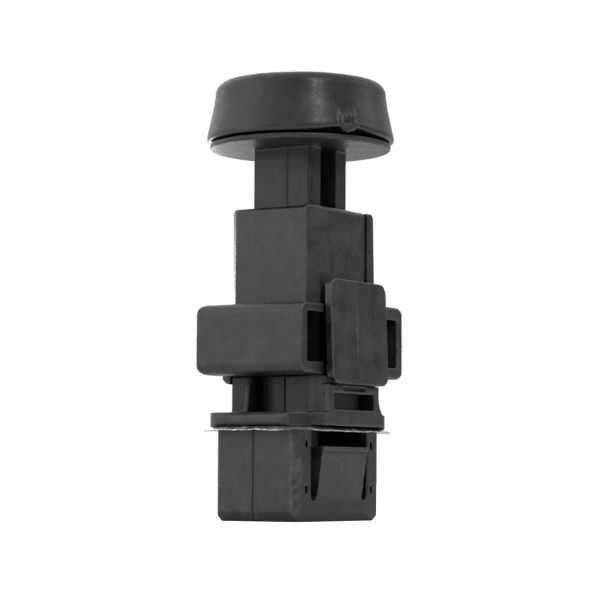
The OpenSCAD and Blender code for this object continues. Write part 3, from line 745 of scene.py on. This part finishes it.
def make_cap():
    """The bumper cap, turned from its section, with the gate's mark on the brim."""
    low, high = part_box("bumper_cap")
    foot, top = low.z / MM, high.z / MM
    rim = foot + 0.3
    outline = cap_outline(foot, rim, top)
    around = 300
    points = []
    for i in range(around):
        a = 2 * math.pi * i / around
        reach = ((a - CAP_GATE + math.pi) % (2 * math.pi) - math.pi) * CAP_BRIM
        for r, z in outline:
            is_brim = r > CAP_CORE + 1.2
            out, rise = gate_mark(reach, z - rim) if is_brim else (0.0, 0.0)
            points.append(((r + out) * math.cos(a), (r + out) * math.sin(a), z + rise))
    rows = len(outline)
    faces = grid_faces(around, rows, rings_close=True)
    ceiling, roof = [[i * rows + k for i in range(around)] for k in (0, rows - 1)]
    mesh = bpy.data.meshes.new("rubber_cap")
    mesh.from_pydata(points, [], [*faces, ceiling[::-1], roof])
    mesh.validate()
    points, normals = read(mesh, "co"), read(mesh, "normal")
    lift = 0.03 * ripple(points, 9.0, seed=41) + 0.010 * ripple(points, 2.4, seed=42)
    gate_x, gate_y = CAP_BRIM * math.cos(CAP_GATE), CAP_BRIM * math.sin(CAP_GATE)
    gate = np.array((gate_x, gate_y, rim + GATE_HEIGHT))
    near = hump(np.linalg.norm((points - gate) * (1, 1, 0.8), axis=1), 1.7)
    lift += near * 0.14 * ripple(points, 0.9, seed=43)
    points = points + normals * lift[:, None] - (0, 0, 0.05)
    points[:, 2] = np.minimum(points[:, 2], top)
    write(mesh, kept_in(points))
    paint_wear_and_highlight(mesh, bend_low=0.5, bend_high=2.5)
    mesh.transform(Matrix.Scale(MM, 4))
    return stand_in(add_object("rubber_cap", mesh), "bumper_cap", "cap_rubber")


make_cap()


# ---- lip seal -----------------------------------------------------------------------------------

def rounded_path(half_x, half_y, corner, per_corner, step):
    """A rounded rectangle, as (corner centre x, y, outward x, y) for each point. Its straight runs
    are split into steps too, so that waves have points to bend."""
    turns = []
    for quarter, (sx, sy) in enumerate([(1, 1), (-1, 1), (-1, -1), (1, -1)]):
        for i in range(per_corner):
            a = math.radians(90 * quarter + (i + 0.5) * 90 / per_corner)
            turns.append((sx * (half_x - corner), sy * (half_y - corner), math.cos(a), math.sin(a)))
    path = []
    for here, there in zip(turns, turns[1:] + turns[:1]):
        span = math.hypot(there[0] - here[0], there[1] - here[1])
        pieces = int(span / step) if span > 1 else 1
        for i in range(pieces):
            t = i / pieces
            path.append([h + (w - h) * t for h, w in zip(here, there)])
    return path


def make_seal():
    """A pad under the flange that thins out into a drooping, slightly wavy lip."""
    low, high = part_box("lip_seal")
    bottom, top = low.z / MM, high.z / MM
    corner, lip_width = 5.1, 1.1
    # section as (distance inside the outer edge, height), a closed loop
    section = [
        (2.75, top), (1.15, top), (0.85, top - 0.12), (0.35, top - 0.36), (0.0, top - 0.52),
        (0.0, top - 0.60), (0.4, top - 0.48), (1.0, top - 0.36), (1.9, top - 0.4), (2.75, top - 0.4)
    ]
    path = rounded_path(high.x / MM, high.y / MM, corner, per_corner=15, step=0.35)
    points = []
    for cx, cy, nx, ny in path:
        size = math.hypot(nx, ny)
        for inside, z in section:
            r = corner - inside
            points.append((cx + r * nx / size, cy + r * ny / size, z))
    faces = grid_faces(len(path), len(section), rings_close=True, rows_close=True)
    mesh = bpy.data.meshes.new("seal_lip")
    mesh.from_pydata(points, [], faces)
    points = read(mesh, "co")
    edge = np.tile([max(0.0, 1 - inside / lip_width) for inside, _ in section], len(path))
    wave, flutter = 0.06 * ripple(points, 6.0, seed=51), 0.03 * ripple(points, 1.8, seed=52)
    points[:, 2] += edge * (wave + flutter)
    points[:, 2] = np.clip(points[:, 2], bottom - 0.1, top)
    write(mesh, kept_in(points))
    mesh.transform(Matrix.Scale(MM, 4))
    return stand_in(add_object("seal_lip", mesh), "lip_seal", "seal_silicone")


make_seal()


# ---- return spring ------------------------------------------------------------------------------

def make_spring():
    """Round wire, closed and flattened at both ends."""
    low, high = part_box("return_spring")
    wire, turns, sides, per_turn = 0.9, 9, 12, 36
    ground = 0.02    # what is ground off both ends
    middle = (high.x - low.x) / MM / 2 - wire / 2
    foot, height = low.z / MM, (high.z - low.z) / MM
    points = []
    rings = turns * per_turn + 1
    for i in range(rings):
        turn, a = i / per_turn, 2 * math.pi * i / per_turn
        if turn < 1:
            z = wire / 2 + turn * wire
        elif turn > turns - 1:
            z = height - wire / 2 - (turns - turn) * wire
        else:
            z = wire * 1.5 + (turn - 1) * (height - 3 * wire) / (turns - 2)
        for k in range(sides):
            b = 2 * math.pi * k / sides
            r = middle + wire / 2 * math.cos(b)
            flat = min(max(z + wire / 2 * math.sin(b), ground), height - ground)
            points.append((r * math.cos(a), r * math.sin(a), foot + flat))
    faces = grid_faces(rings, sides, rows_close=True)
    first = list(range(sides))[::-1]
    last = [(rings - 1) * sides + k for k in range(sides)]
    mesh = bpy.data.meshes.new("coil")
    mesh.from_pydata(points, [], [*faces, first, last])
    mesh.transform(Matrix.Scale(MM, 4))
    piece = stand_in(add_object("coil", mesh), "return_spring", "spring_steel")
    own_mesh(piece)


make_spring()


# ---- inner pieces that keep their CAD form ------------------------------------------------------

INNER = {
    "contact_carrier": "carrier_nylon",
    "contact_wiper": "contact_bronze",
    "wiper_rivets": "tinned_brass",
    "contact_tips": "contact_silver",
    "spring_washer": "spring_steel",
    "spring_guide_pin": "spring_steel",
    "terminal_block": "block_resin",
    "block_o_ring": "o_ring_rubber",
    "terminal_potting": "potting_resin",
    "common_terminal": "tinned_brass",
    "signal_terminal": "tinned_brass",
}
for name, slot in INNER.items():
    node = frame["nodes"][name]
    node.data.materials.clear()
    node.data.materials.append(FINISH[slot])
